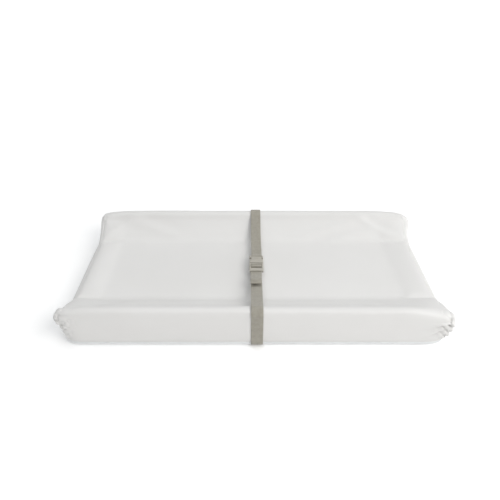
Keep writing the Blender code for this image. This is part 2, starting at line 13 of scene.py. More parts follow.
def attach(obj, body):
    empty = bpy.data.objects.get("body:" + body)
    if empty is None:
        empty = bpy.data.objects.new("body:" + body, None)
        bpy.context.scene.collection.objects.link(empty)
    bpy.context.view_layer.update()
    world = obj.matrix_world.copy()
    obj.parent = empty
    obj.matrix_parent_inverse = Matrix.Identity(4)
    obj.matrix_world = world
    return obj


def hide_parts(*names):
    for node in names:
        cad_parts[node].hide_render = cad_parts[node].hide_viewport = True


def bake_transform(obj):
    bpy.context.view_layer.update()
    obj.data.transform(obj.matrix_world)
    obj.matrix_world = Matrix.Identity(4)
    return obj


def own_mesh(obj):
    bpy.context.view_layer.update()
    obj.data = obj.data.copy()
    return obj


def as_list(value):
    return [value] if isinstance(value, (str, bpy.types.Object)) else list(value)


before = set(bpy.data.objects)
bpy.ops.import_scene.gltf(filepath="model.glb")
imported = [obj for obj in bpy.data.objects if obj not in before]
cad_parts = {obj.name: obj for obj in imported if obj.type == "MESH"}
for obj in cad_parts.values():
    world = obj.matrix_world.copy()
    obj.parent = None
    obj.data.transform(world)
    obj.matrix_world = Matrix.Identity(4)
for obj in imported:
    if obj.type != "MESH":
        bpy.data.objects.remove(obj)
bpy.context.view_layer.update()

# Sizes that the frame was built from.
HALF_LENGTH = 0.4065
HALF_DEPTH = 0.203
PAD_HEIGHT = 0.1016
VALLEY_HEIGHT = 0.055
SLOPE_ANGLE = radians(34)
FOOT_RADIUS = 0.040
BASE_RADIUS = 0.014
END_RADIUS = 0.012
SEAM_HEIGHT = 0.014
COVER_THICKNESS = 0.0012
WEB_WIDTH = 0.025
WEB_THICKNESS = 0.0015
STRAP_X = 0.010
LOAD_Z = 0.06945
LAYER = 0.0018
TAIL_Z = 0.07125
RUN_START = 0.060
# The cover's ridges are crisper than the frame's, which have a radius of 18 mm.
RIDGE_RADIUS = 0.014
RIDGE_CENTRE = (-HALF_DEPTH + RIDGE_RADIUS, PAD_HEIGHT - RIDGE_RADIUS)
END_SEAM = HALF_LENGTH - END_RADIUS

scene = bpy.context.scene


# Small helpers.


def smoothstep(low, high, value):
    t = np.clip((np.asarray(value, float) - low) / (high - low), 0.0, 1.0)
    return t * t * (3 - 2 * t)


def link(name, mesh, material=None):
    obj = bpy.data.objects.new(name, mesh)
    scene.collection.objects.link(obj)
    if material:
        mesh.materials.append(material)
    return obj


def object_from(bm, name, material=None, smooth_angle=None):
    mesh = bpy.data.meshes.new(name)
    bm.to_mesh(mesh)
    bm.free()
    if smooth_angle:
        mesh.shade_smooth()
        mesh.set_sharp_from_angle(angle=radians(smooth_angle))
    return link(name, mesh, material)


def object_of(name, verts, faces, material, smooth_angle, maps=None):
    """An object from plain lists, its faces turned outwards; maps are its points' UV places."""
    mesh = bpy.data.meshes.new(name)
    mesh.from_pydata([tuple(v) for v in verts], [], faces)
    if maps:
        layer = mesh.uv_layers.new(name="UVMap")
        order = np.empty(len(mesh.loops), np.int32)
        mesh.loops.foreach_get("vertex_index", order)
        layer.data.foreach_set("uv", np.array(maps, np.float32)[order].ravel())
    bm = bmesh.new()
    bm.from_mesh(mesh)
    bpy.data.meshes.remove(mesh)
    bmesh.ops.recalc_face_normals(bm, faces=bm.faces)
    return object_from(bm, name, material, smooth_angle)


def strip_faces(rows, columns):
    """The faces of a closed strip: two grids, one after the other, and the walls between them."""
    across = columns + 1
    other = (rows + 1) * across
    faces = []
    for i in range(rows):
        for j in range(columns):
            k = i * across + j
            for first in (k, other + k):
                faces.append((first, first + 1, first + across + 1, first + across))
        for k in (i * across, i * across + columns):
            faces.append((k, k + across, other + k + across, other + k))
    for i in (0, rows):
        for k in range(i * across, i * across + columns):
            faces.append((k, k + 1, other + k + 1, other + k))
    return faces


def tube_faces(rings, sides):
    """The faces of a closed tube: its rings of points, one after the other, and its two caps."""
    faces = []
    for a in range(0, (rings - 1) * sides, sides):
        for j in range(sides):
            k = (j + 1) % sides
            faces.append((a + j, a + k, a + sides + k, a + sides + j))
    faces.append(tuple(range(sides))[::-1])
    faces.append(tuple(range((rings - 1) * sides, rings * sides)))
    return faces


def placed(piece, body, node=None):
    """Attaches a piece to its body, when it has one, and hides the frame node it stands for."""
    if body:
        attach(piece, body)
    if node:
        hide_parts(node)
    return piece


def vectors(items, attribute):
    values = np.empty(len(items) * 3, np.float32)
    items.foreach_get(attribute, values)
    return values.reshape(-1, 3).astype(float)


def move_to(mesh, points):
    mesh.vertices.foreach_set("co", points.astype(np.float32).ravel())
    mesh.update()


def evaluated_mesh(obj):
    graph = bpy.context.evaluated_depsgraph_get()
    return bpy.data.meshes.new_from_object(obj.evaluated_get(graph))


def apply_modifiers(obj):
    mesh = evaluated_mesh(obj)
    obj.modifiers.clear()
    obj.data = mesh
    return obj


def arc(centre, radius, start, end, steps):
    angles = [start + (end - start) * i / steps for i in range(steps + 1)]
    return [(centre[0] + radius * cos(a), centre[1] + radius * sin(a)) for a in angles]


def bezier(points, steps):
    p0, p1, p2, p3 = (Vector(p) for p in points)
    curve = []
    for i in range(steps + 1):
        t = i / steps
        s = 1 - t
        curve.append(tuple(s**3 * p0 + 3 * s * s * t * p1 + 3 * s * t * t * p2 + t**3 * p3))
    return curve


def run_lengths(points):
    """How far along a path each of its points is."""
    steps = np.linalg.norm(np.diff(points, axis=0), axis=1)
    return np.concatenate([[0], np.cumsum(steps)])


def values_at(where, lengths, rows):
    """The rows' values at one or more lengths along their path."""
    return np.stack([np.interp(where, lengths, column) for column in rows.T], axis=-1)


def mirrored(points):
    return [(-y, z) for y, z in points]


# Materials.


class Shader:
    """A Principled material and short ways to add nodes to it."""

    def __init__(self, name, roughness=0.5, metallic=0.0, **inputs):
        self.material = bpy.data.materials.new(name)
        self.material.use_nodes = True
        self.tree = self.material.node_tree
        self.shader = self.tree.nodes["Principled BSDF"]
        self.shader.inputs["Roughness"].default_value = roughness
        self.shader.inputs["Metallic"].default_value = metallic
        for key, value in inputs.items():
            self.shader.inputs[key.replace("_", " ")].default_value = value
        self.place = self.node("ShaderNodeTexCoord").outputs["Object"]

    def node(self, kind, settings=None, **links):
        node = self.tree.nodes.new(kind)
        for key, value in (settings or {}).items():
            if hasattr(node, key):
                setattr(node, key, value)
            else:
                node.inputs[key].default_value = value
        for key, source in links.items():
            self.tree.links.new(source, node.inputs[key.replace("_", " ")])
        return node

    def link(self, source, key):
        self.tree.links.new(source, self.shader.inputs[key])

    def noise(self, scale, detail=3.0):
        settings = {"Scale": scale, "Detail": detail}
        return self.node("ShaderNodeTexNoise", settings, Vector=self.place).outputs["Fac"]

    def ramp(self, source, stops):
        """Maps a number to a colour; stops are (position, colour)."""
        node = self.node("ShaderNodeValToRGB", Fac=source)
        elements = node.color_ramp.elements
        for i, (position, colour) in enumerate(stops):
            element = elements[i] if i < 2 else elements.new(position)
            element.position = position
            element.color = (*colour, 1.0)
        return node.outputs["Color"]

    def span(self, source, low, high):
        settings = {"To Min": low, "To Max": high}
        return self.node("ShaderNodeMapRange", settings, Value=source).outputs["Result"]

    def math(self, operation, a, b=None):
        node = self.node("ShaderNodeMath", {"operation": operation})
        for socket, value in zip(node.inputs, (a, b)):
            if value is None:
                continue
            if isinstance(value, (int, float)):
                socket.default_value = value
            else:
                self.tree.links.new(value, socket)
        return node.outputs[0]

    def bump(self, height, distance, strength, under=None):
        settings = {"Distance": distance, "Strength": strength}
        node = self.node("ShaderNodeBump", settings, Height=height)
        if under is not None:
            self.tree.links.new(under, node.inputs["Normal"])
        self.link(node.outputs["Normal"], "Normal")
        return node.outputs["Normal"]

    def wave(self, source, pitch):
        return self.math("SINE", self.math("MULTIPLY", source, 2 * pi / pitch))

    def weave(self, pitch):
        """Height of a plain weave with threads pitch apart, along the surface's x and its slope."""
        split = self.node("ShaderNodeSeparateXYZ", Vector=self.place)
        slope = self.math("ADD", split.outputs["Y"], split.outputs["Z"])
        along, across = self.wave(split.outputs["X"], pitch), self.wave(slope, pitch)
        return self.math("MULTIPLY", along, across)


# Where on its noise a tint begins and ends.
SPECKLE = (0.3, 0.7)


def finish(name, roughness, tint, colours, worn=None, grain=None, weave=None, **inputs):
    """A material whose colour and roughness vary a little, over a fine grain and a weave.

    tint is a noise's scale and detail, and colours are the two it runs between. worn is the same
    with the two roughnesses, grain with a bump's height and strength. weave is its pitch, height
    and strength.
    """
    s = Shader(name, roughness, **inputs)
    s.link(s.ramp(s.noise(*tint), zip(SPECKLE, colours)), "Base Color")
    if worn:
        s.link(s.span(s.noise(*worn[:2]), *worn[2:]), "Roughness")
    under = s.bump(s.noise(*grain[:2]), *grain[2:]) if grain else None
    if weave:
        s.bump(s.weave(weave[0]), *weave[1:], under)
    return s.material


def thread_material(name, colour):
    dark = tuple(0.9 * c for c in colour)
    return finish(
        name, 0.6, (900.0, 2.0), (dark, colour), grain=(2500.0, 2.0, 0.00005, 0.6), Sheen_Weight=0.2
    )


def foam_material():
    s = Shader("open_cell_foam", 0.95)
    cells = s.node("ShaderNodeTexVoronoi", {"Scale": 700.0}, Vector=s.place)
    colours = ((0.86, 0.83, 0.70), (0.90, 0.87, 0.76))
    s.link(s.ramp(s.noise(20.0), zip(SPECKLE, colours)), "Base Color")
    s.bump(cells.outputs["Distance"], 0.0005, 0.8)
    return s.material


def webbing_material():
    """Ribbed tape: its map runs across in metres and along in metres."""
    s = Shader("webbing_weave", 0.72, Sheen_Weight=0.35, Sheen_Roughness=0.45)
    place = s.node("ShaderNodeTexCoord").outputs["UV"]
    split = s.node("ShaderNodeSeparateXYZ", Vector=place)
    across, along = split.outputs["X"], split.outputs["Y"]
    herring = s.math("ABSOLUTE", s.wave(across, 0.0052))
    slant = s.math("ADD", along, s.math("MULTIPLY", herring, 0.0009))
    picks, warp = s.wave(slant, 0.0012), s.wave(across, 0.0013)
    yarns = s.math("ADD", s.math("MULTIPLY", picks, 0.5), s.math("MULTIPLY", warp, 0.5))
    fibre = s.span(s.noise(110.0, 5.0), 0.2, 0.9)
    light = s.math("ADD", s.math("MULTIPLY", yarns, 0.16), fibre)
    colour = s.ramp(
        light,
        [(0.2, (0.262, 0.244, 0.202)), (0.55, (0.342, 0.322, 0.272)), (0.9, (0.41, 0.39, 0.335))],
    )
    s.link(colour, "Base Color")
    s.link(s.span(s.noise(350.0), 0.64, 0.82), "Roughness")
    fuzz = s.bump(s.noise(3000.0, 3.0), 0.00008, 0.5)
    s.bump(yarns, 0.00018, 0.8, fuzz)
    return s.material


COVER = finish(
    "cover_coated_fabric",
    0.5,
    tint=(7.0, 4.0),
    colours=((0.722, 0.714, 0.700), (0.742, 0.735, 0.722)),
    worn=(55.0, 4.0, 0.46, 0.60),
    grain=(38.0, 3.0, 0.0006, 0.25),
    weave=(0.0009, 0.00005, 0.35),
    Sheen_Weight=0.12,
    Sheen_Roughness=0.4,
)
BOTTOM = finish(
    "bottom_non_slip_fabric",
    0.75,
    tint=(120.0, 5.0),
    colours=((0.835, 0.853, 0.862), (0.872, 0.888, 0.896)),
    worn=(200.0, 3.0, 0.68, 0.85),
    grain=(400.0, 4.0, 0.0002, 0.5),
    weave=(0.0016, 0.00012, 0.6),
    Sheen_Weight=0.1,
)
GRIP = finish(
    "grip_dots_rubber",
    0.55,
    tint=(80.0, 3.0),
    colours=((0.60, 0.61, 0.61), (0.68, 0.69, 0.69)),
    worn=(500.0, 3.0, 0.48, 0.66),
    grain=(2500.0, 3.0, 0.00004, 0.5),
)
PLASTIC = finish(
    "moulded_acetal",
    0.38,
    tint=(45.0, 4.0),
    colours=((0.405, 0.385, 0.335), (0.445, 0.425, 0.375)),
    worn=(600.0, 5.0, 0.32, 0.46),
    grain=(4000.0, 4.0, 0.00006, 0.5),
    Coat_Weight=0.04,
    Coat_Roughness=0.3,
)
TAPE = finish(
    "zip_tape_weave",
    0.8,
    tint=(300.0, 3.0),
    colours=((0.72, 0.715, 0.70), (0.79, 0.785, 0.77)),
    weave=(0.0007, 0.0001, 0.7),
    Sheen_Weight=0.2,
)
COIL = finish(
    "zip_coil_nylon",
    0.35,
    tint=(200.0, 3.0),
    colours=((0.70, 0.695, 0.68), (0.78, 0.775, 0.76)),
    grain=(5000.0, 3.0, 0.00003, 0.4),
)
METAL = finish(
    "zip_die_cast_nickel",
    0.3,
    tint=(90.0, 5.0),
    colours=((0.52, 0.52, 0.50), (0.68, 0.68, 0.66)),
    worn=(800.0, 5.0, 0.22, 0.42),
    grain=(3500.0, 3.0, 0.00003, 0.35),
    metallic=1.0,
)
THREAD = thread_material("cover_thread", (0.84, 0.835, 0.82))
WEB_THREAD = thread_material("webbing_thread", (0.46, 0.44, 0.385))
FOAM = foam_material()
WEBBING = webbing_material()


# The pad's form: a stuffed cover over a slab with two bolsters.


def outline(inset):
    """The closed cross-section, moved inwards by inset."""
    down = 1.5 * pi
    base = arc((-HALF_DEPTH + BASE_RADIUS, BASE_RADIUS), BASE_RADIUS - inset, down, pi, 8)
    ridge = arc(RIDGE_CENTRE, RIDGE_RADIUS - inset, pi, pi / 2 - SLOPE_ANGLE, 16)
    sine, cosine = sin(SLOPE_ANGLE), cos(SLOPE_ANGLE)
    start = (RIDGE_CENTRE[0] + RIDGE_RADIUS * sine, RIDGE_CENTRE[1] + RIDGE_RADIUS * cosine)
    foot_z = VALLEY_HEIGHT + FOOT_RADIUS
    foot_y = start[0] + (FOOT_RADIUS - (foot_z - start[1]) * cosine) / sine
    foot = arc((foot_y, foot_z), FOOT_RADIUS + inset, down - SLOPE_ANGLE, down, 10)
    front = base + ridge + foot
    return front + mirrored(front)[::-1]


FORM_INSET = 0.0006
VOXEL = 0.0060


def base_form():
    """The pad as one closed, evenly meshed form, a little smaller than the finished cover."""
    rounding = END_RADIUS - FORM_INSET
    right = []
    for i in range(7):
        angle = pi / 2 * i / 6
        x = HALF_LENGTH - FORM_INSET - rounding * (1 - sin(angle))
        right.append((x, FORM_INSET + rounding * (1 - cos(angle))))
    rings_at = [(-x, inset) for x, inset in reversed(right)] + right
    bm = bmesh.new()
    rings = [[bm.verts.new((x, y, z)) for y, z in outline(inset)] for x, inset in rings_at]
    for first, second in zip(rings, rings[1:]):
        for i in range(len(first)):
            j = (i + 1) % len(first)
            bm.faces.new((first[i], first[j], second[j], second[i]))
    bm.faces.new(rings[0])
    bm.faces.new(rings[-1])
    bmesh.ops.recalc_face_normals(bm, faces=bm.faces)
    obj = object_from(bm, "form")
    remesh = obj.modifiers.new("even", "REMESH")
    remesh.mode = "VOXEL"
    remesh.voxel_size = VOXEL
    relax = obj.modifiers.new("relax", "SMOOTH")
    relax.factor = 0.5
    relax.iterations = 3
    return apply_modifiers(obj)


def corner_share(y):
    """How far a point is into one of the four corners of the plan, from 0 to 1."""
    return np.clip((np.abs(y) - 0.118) / 0.085, 0, 1) ** 1.6


def shaped(points):
    """Rounds and swells the ends as a stuffed, gathered cover does; the right end swells more."""
    x, y, z = points.T.copy()
    side = np.sign(x)
    reach = np.abs(x)
    right = side > 0
    near = smoothstep(HALF_LENGTH - 0.085, HALF_LENGTH, reach) ** 1.5
    corner = corner_share(y)
    low = 0.008 * (1 - smoothstep(0.038, 0.080, z)) + 0.005 * np.clip((0.050 - z) / 0.050, 0, 1)
    pull = np.where(right, 0.0, low) * corner
    ridge = smoothstep(0.120, 0.175, np.abs(y))
    tip = np.clip((z - 0.070) / 0.032, 0, 1) ** 4
    pull += np.where(right, 0.024, 0.014) * tip * ridge
    swell = (0.012 - 0.003 * corner) * smoothstep(0.006, 0.036, z)
    hub = np.exp(-(((z - 0.075) / 0.020) ** 2)) * smoothstep(0.130, 0.180, np.abs(y))
    swell += np.where(y > 0, 0.009, 0.004) * hub
    pull -= np.where(right, swell, 0.002 * hub)
    x = side * (reach - pull * near)
    # The wall turns in a little at the ends, as the end panel's edge pulls it.
    wall = smoothstep(0.185, 0.203, np.abs(y))
    belly = smoothstep(HALF_LENGTH - 0.045, HALF_LENGTH, reach) ** 2
    y = y - np.sign(y) * wall * belly * 0.006
    # Behind each ridge the cover falls steeply before the slope, so the ridge's edge is crisp.
    behind = HALF_DEPTH - 0.0250 - np.abs(y)
    step = smoothstep(0.0, 0.010, behind) * (1 - smoothstep(0.014, 0.062, behind))
    z = z - np.where(y < 0, 0.0068, 0.0030) * step * smoothstep(0.060, 0.070, z)
    # The ridges drop away over their last stretch, most at the front right.
    droop = smoothstep(HALF_LENGTH - 0.110, HALF_LENGTH, reach) ** 1.3 * ridge
    z = z - np.where(right & (y < 0), 0.013, 0.0045) * droop * smoothstep(0.050, 0.100, z)
    return np.stack([x, y, z], axis=1)


def strap_share(points):
    """1 under and beside the strap, 0 away from it."""
    return 1 - smoothstep(0.016, 0.050, np.abs(points[:, 0] - STRAP_X))


def set_weights(obj, name, weights):
    group = obj.vertex_groups.new(name=name)
    levels = np.round(weights * 24).astype(int)
    for level in range(1, 25):
        members = np.nonzero(levels == level)[0]
        if len(members):
            group.add(members.tolist(), level / 24, "REPLACE")
    return name


CLOTH = dict(
    quality=6,
    mass=0.25,
    tension_stiffness=25,
    compression_stiffness=25,
    shear_stiffness=10,
    bending_stiffness=0.8,
    use_pressure=True,
    uniform_pressure_force=4,
    pin_stiffness=1.0,
    shrink_min=0.0,
    shrink_max=-0.07,
)
LAST_FRAME = 20


def simulate(obj, held, slack):
    """Fills the cover with pressure; slack cloth gathers where the weights say."""
    cloth = obj.modifiers.new("cloth", "CLOTH")
    settings = cloth.settings
    for key, value in CLOTH.items():
        setattr(settings, key, value)
    settings.vertex_group_mass = set_weights(obj, "held", held)
    settings.vertex_group_shrink = set_weights(obj, "slack", slack)
    settings.effector_weights.gravity = 0
    cloth.collision_settings.use_collision = False
    cloth.point_cache.frame_start = 1
    cloth.point_cache.frame_end = LAST_FRAME
    for frame_number in range(1, LAST_FRAME + 1):
        scene.frame_set(frame_number)
    mesh = evaluated_mesh(obj)
    points = vectors(mesh.vertices, "co")
    bpy.data.meshes.remove(mesh)
    obj.modifiers.clear()
    obj.vertex_groups.clear()
    scene.frame_set(1)
    return points


def fold(points, start, end, width, height, shift):
    """A soft crease along a line in plan: a ridge beside a shallow groove."""
    a, b = np.array(start, float), np.array(end, float)
    along = b - a
    length = np.linalg.norm(along)
    along /= length
    across = np.array([-along[1], along[0]])
    local = points[:, :2] - a
    u = local @ along
    v = local @ across + shift * np.sin(u / length * pi)
    fade = smoothstep(0, 0.30 * length, u) * (1 - smoothstep(0.65 * length, length, u))
    t = v / width
    return height * fade * (np.exp(-t * t) - 0.6 * np.exp(-((t - 1.5) ** 2)))


def creases(points):
    """Outward offsets for the folds and the slight waves of the top."""
    offset = np.zeros(len(points))
    top = smoothstep(0.040, 0.050, points[:, 2])
    rear = smoothstep(0.06, 0.09, points[:, 1])
    front = smoothstep(0.03, 0.06, -points[:, 1])
    for part, start, end, width, height, shift in (
        (rear, (0.080, 0.120), (0.330, 0.185), 0.010, 0.0016, 0.006),
        (rear, (0.150, 0.095), (0.372, 0.150), 0.012, 0.0018, -0.006),
        (rear, (0.270, 0.185), (0.395, 0.110), 0.009, 0.0016, 0.004),
        (rear, (-0.340, 0.180), (-0.160, 0.120), 0.012, 0.0011, 0.006),
        (rear, (-0.395, 0.120), (-0.290, 0.185), 0.010, 0.0012, -0.004),
        (front, (-0.380, -0.190), (-0.250, -0.120), 0.010, 0.0012, 0.005),
        (front, (0.390, -0.185), (0.270, -0.120), 0.010, 0.0013, -0.005),
    ):
        offset += fold(points, start, end, width, height, shift) * part * top
    low_waves = np.array([noise.noise(Vector((p[0] * 7, p[1] * 11, p[2] * 11))) for p in points])
    offset += 0.0009 * low_waves * top
    return offset


def crumpled(points, scale):
    """Ridged noise from 0 to 1: round humps with sharp creases between them."""
    values = [abs(noise.noise(Vector(p) * scale)) for p in points]
    return np.clip(np.array(values) * 2.2, 0, 1) ** 0.7


# Each gather: its end, its wall, the height of its hub, and how far its pleats, ruffles and
# crumples stand.
GATHERS = (
    (1, -1, 0.072, 0.0085, 0.0075, 0.0010),
    (-1, -1, 0.068, 0.0016, 0.0016, 0.0038),
    (1, 1, 0.066, 0.0050, 0.0030, 0.0024),
    (-1, 1, 0.072, 0.0060, 0.0035, 0.0020),
)


RIGHT_SWELL = 0.010


def puckers(points):
    """How far the gathered cloth at the pad's four upright corners stands out."""
    x, y, z = points.T
    offset = np.zeros(len(points))
    for end, wall, hub_z, pleats, ruffles, crumples in GATHERS:
        near_wall = smoothstep(0.160, 0.186, wall * y)
        edge = HALF_LENGTH + (RIGHT_SWELL if end > 0 else 0.0)
        inward = edge - end * x
        down = hub_z - z
        reach = np.hypot(inward, down)
        chosen = np.nonzero((near_wall > 0) & (reach < 0.095))[0]
        if not len(chosen):
            continue
        angle = np.arctan2(down[chosen], inward[chosen])
        close = reach[chosen]
        window = smoothstep(-0.2, 0.4, angle) * (1 - smoothstep(1.7, 2.0, angle))
        bend = 1.1 * close / 0.04
        ridges = np.abs(np.sin(8.6 * angle + bend + 0.9 * wall)) ** 0.6
        fade = smoothstep(0.004, 0.016, close) * np.exp(-((close / 0.046) ** 2))
        value = pleats * (ridges - 0.35) * fade * window
        small = np.exp(-((close / 0.030) ** 2))
        value += crumples * (crumpled(points[chosen], 80.0) - 0.3) * small
        # Short ruffles run off the end seam, slanting down to it.
        height, run = z[chosen], inward[chosen]
        waves = np.abs(np.sin(pi * (height - 1.05 * run) / 0.0165 + 0.4)) ** 0.55
        reach_in = np.exp(-((np.maximum(run - 0.008, 0) / 0.020) ** 2))
        reach_in *= smoothstep(0.0, 0.006, run)
        tall = smoothstep(0.018, 0.030, height) * (1 - smoothstep(0.060, 0.072, height))
        value += ruffles * (waves - 0.5) * reach_in * tall
        tuck = np.exp(-(((run - 0.006 - 0.3 * (0.086 - height)) / 0.0026) ** 2))
        tuck *= smoothstep(0.052, 0.062, height) * (1 - smoothstep(0.082, 0.090, height))
        value -= 0.55 * pleats * tuck
        offset[chosen] += value * near_wall[chosen]
    return offset


# How far the simulation may move the cover in its middle, and how much further at its ends.
MIDDLE_MOVE, END_MOVE = 0.0015, 0.0045
LOWEST = 0.0004
# How far the cover is lifted over the straps' ends under it.
STRAP_LIFT = 0.0018


def build_form():
    """The rest form's mesh and, for each of its points, its place on the finished cover."""
    form = base_form()
    rest = vectors(form.data.vertices, "co")
    start = shaped(rest)
    move_to(form.data, start)
    low = 1 - smoothstep(0.014, 0.022, rest[:, 2])
    ends = smoothstep(0.300, 0.390, np.abs(rest[:, 0]))
    strap = strap_share(rest)
    zip_area = (rest[:, 0] < 0) * smoothstep(0.385, 0.395, np.abs(rest[:, 0]))
    zip_area *= 1 - smoothstep(0.030, 0.050, rest[:, 2])
    zip_area *= 1 - smoothstep(0.138, 0.160, np.abs(rest[:, 1]))
    strap = np.maximum(strap, zip_area)
    held = np.clip(np.maximum.reduce([low, strap, 0.35 * (1 - ends)]), 0, 1)
    slack = ends * smoothstep(0.10, 0.17, np.abs(rest[:, 1])) * (1 - low)
    final = simulate(form, held, slack)
    moved = final - start
    distance = np.linalg.norm(moved, axis=1)
    cap = MIDDLE_MOVE + END_MOVE * ends
    cap *= (1 - strap) * (1 - low) + 0.0001
    moved *= (cap * np.tanh(distance / cap) / np.maximum(distance, 1e-9))[:, None]
    final = start + moved
    move_to(form.data, final)
    calm = (1 - strap) * (1 - low)
    final += vectors(form.data.vertex_normals, "vector") * (creases(rest) * calm)[:, None]
    final[:, 2] = np.maximum(final[:, 2], LOWEST)
    beside = np.abs(rest[:, 0] - STRAP_X)
    under = (1 - smoothstep(0.0140, 0.0205, beside)) * smoothstep(0.130, 0.137, np.abs(rest[:, 1]))
    final[:, 2] += STRAP_LIFT * under * (rest[:, 2] < 0.004)
    return form, rest, final


form_object, rest_points, final_points = build_form()
form_mesh = form_object.data
form_object.hide_render = True


form_mesh.calc_loop_triangles()
TRIANGLES = [tuple(t.vertices) for t in form_mesh.loop_triangles]
REST_TREE = BVHTree.FromPolygons([tuple(p) for p in rest_points], TRIANGLES)


def on_surface(point):
    """The finished place and normal of a point given on the rest form."""
    place, _, index, _ = REST_TREE.find_nearest(Vector(point))
    corners = TRIANGLES[index]
    a, b, c = (Vector(rest_points[i]) for i in corners)
    normal = (b - a).cross(c - a)
    weights = []
    for p, q in ((b, c), (c, a), (a, b)):
        weights.append(max((p - place).cross(q - place).dot(normal), 0.0))
    total = sum(weights) or 1.0
    ends = [Vector(final_points[i]) for i in corners]
    spot = sum((w / total * e for w, e in zip(weights, ends)), Vector())
    facing = (ends[1] - ends[0]).cross(ends[2] - ends[0]).normalized()
    return spot, facing


# Panels of the cover, cut from the finished form along its seams.


def panel(name, cuts, material, close=False, offset=0.0):
    """A piece of the finished form. cuts are planes on the rest form; what is beyond them goes."""
    bm = bmesh.new()
    bm.from_mesh(form_mesh)
    layer = bm.verts.layers.float_vector.new("final")
    places = final_points - vectors(form_mesh.vertex_normals, "vector") * offset
    for vert, place, rest in zip(bm.verts, places, rest_points):
        vert[layer] = Vector(place)
        vert.co = Vector(rest)
    for point, normal in cuts:
        result = bmesh.ops.bisect_plane(
            bm,
            geom=bm.verts[:] + bm.edges[:] + bm.faces[:],
            dist=0.0004,
            plane_co=point,
            plane_no=normal,
            clear_outer=True,
        )
        if close:
            edges = [item for item in result["geom_cut"] if isinstance(item, bmesh.types.BMEdge)]
            bmesh.ops.holes_fill(bm, edges=edges)
    for vert in bm.verts:
        vert.co = vert[layer]
    bm.verts.layers.float_vector.remove(layer)
    bmesh.ops.remove_doubles(bm, verts=bm.verts, dist=0.0005)
    bmesh.ops.recalc_face_normals(bm, faces=bm.faces)
    obj = object_from(bm, name, material)
    obj.data.shade_smooth()
    return obj


# The gathers are beyond these distances in x, y and z.
GATHERED = (0.350, 0.160, 0.012)
# How far the cover pulls in at a seam, and over what width.
SEAM_PULL, SEAM_WIDTH = 0.0010, 0.0032


def finish_panel(obj):
    """Refines a panel, gathers its corners, pulls in its seams and gives it its thickness."""
    divide = obj.modifiers.new("divide", "SUBSURF")
    divide.levels = 1
    divide.render_levels = 1
    apply_modifiers(obj)
    bm = bmesh.new()
    bm.from_mesh(obj.data)
    gathered = [
        edge
        for edge in bm.edges
        if all(abs(c) > least for v in edge.verts for c, least in zip(v.co, GATHERED))
    ]
    if gathered:
        bmesh.ops.subdivide_edges(bm, edges=gathered, cuts=2, use_grid_fill=True)
        bm.normal_update()
        stand = puckers(np.array([tuple(v.co) for v in bm.verts]))
        calm = smoothstep(SEAM_HEIGHT, SEAM_HEIGHT + 0.012, [v.co.z for v in bm.verts])
        for vert, rise in zip(bm.verts, stand * calm):
            if rise:
                vert.co += vert.normal * rise
    border = [v for v in bm.verts if v.is_boundary]
    tree = KDTree(len(border))
    for i, vert in enumerate(border):
        tree.insert(vert.co, i)
    tree.balance()
    bm.normal_update()
    for vert in bm.verts:
        if vert.co.z < 0.004 and abs(vert.normal.z) > 0.9:
            continue
        distance = tree.find(vert.co)[2]
        if distance < 0.008:
            vert.co -= vert.normal * SEAM_PULL * exp(-((distance / SEAM_WIDTH) ** 2))
    bm.to_mesh(obj.data)
    bm.free()
    shell = obj.modifiers.new("thickness", "SOLIDIFY")
    shell.thickness = COVER_THICKNESS
    shell.offset = -1.0
    apply_modifiers(obj)
    obj.data.shade_smooth()


ABOVE_SEAM = ((0, 0, SEAM_HEIGHT), (0, 0, -1))
BELOW_SEAM = ((0, 0, SEAM_HEIGHT), (0, 0, 1))
LEFT_SEAM, RIGHT_SEAM = (-END_SEAM, 0, 0), (END_SEAM, 0, 0)

main_panel = panel(
    "cover_top", [ABOVE_SEAM, (RIGHT_SEAM, (1, 0, 0)), (LEFT_SEAM, (-1, 0, 0))], COVER
)
left_panel = panel("cover_left_end", [ABOVE_SEAM, (LEFT_SEAM, (1, 0, 0))], COVER)
right_panel = panel("cover_right_end", [ABOVE_SEAM, (RIGHT_SEAM, (-1, 0, 0))], COVER)
bottom = panel("cover_bottom", [BELOW_SEAM], BOTTOM)
for piece in (main_panel, left_panel, right_panel, bottom):
    finish_panel(piece)

# The zip's opening in the left end.
OPENING_TOP = 0.027
OPENING_SIZE = (0.024, 0.2752, 0.0155)
bm = bmesh.new()
bmesh.ops.create_cube(bm, size=1.0)
bmesh.ops.scale(bm, vec=OPENING_SIZE, verts=bm.verts)
opening_centre = (-HALF_LENGTH, 0, OPENING_TOP - OPENING_SIZE[2] / 2)
bmesh.ops.translate(bm, vec=opening_centre, verts=bm.verts)
opening = object_from(bm, "opening")
cut = left_panel.modifiers.new("zip_opening", "BOOLEAN")
cut.object = opening
cut.solver = "EXACT"
apply_modifiers(left_panel)
bpy.data.objects.remove(opening, do_unlink=True)

for piece, flat, area, node, slot in (
    (main_panel, (0.789, 0.580), None, "cover_main_panel", "cover"),
    (left_panel, (0.430, 0.100), 0.0215, "cover_end_left", "cover"),
    (right_panel, (0.430, 0.100), 0.0245, "cover_end_right", "cover"),
    (bottom, (0.823, 0.416), None, "bottom_panel", "bottom_fabric"),
):
    placed(piece, "pad", node)

# The foam inside.
FOAM_INSET = 0.0045
FOAM_SPLIT = 0.0532
UNDER_SPLIT = ((0, 0, FOAM_SPLIT), (0, 0, 1))
OVER_SPLIT = ((0, 0, FOAM_SPLIT + 0.0003), (0, 0, -1))
for name, cuts, node in (
    ("foam_slab", [UNDER_SPLIT], "foam_base"),
    ("foam_front", [OVER_SPLIT, ((0, 0, 0), (0, 1, 0))], "foam_bolster_front"),
    ("foam_rear", [OVER_SPLIT, ((0, 0, 0), (0, -1, 0))], "foam_bolster_rear"),
):
    foam = placed(panel(name, cuts, FOAM, close=True, offset=FOAM_INSET), "pad", node)

bpy.data.objects.remove(form_object, do_unlink=True)


# The webbing, laid along the routes that the frame's straps take.

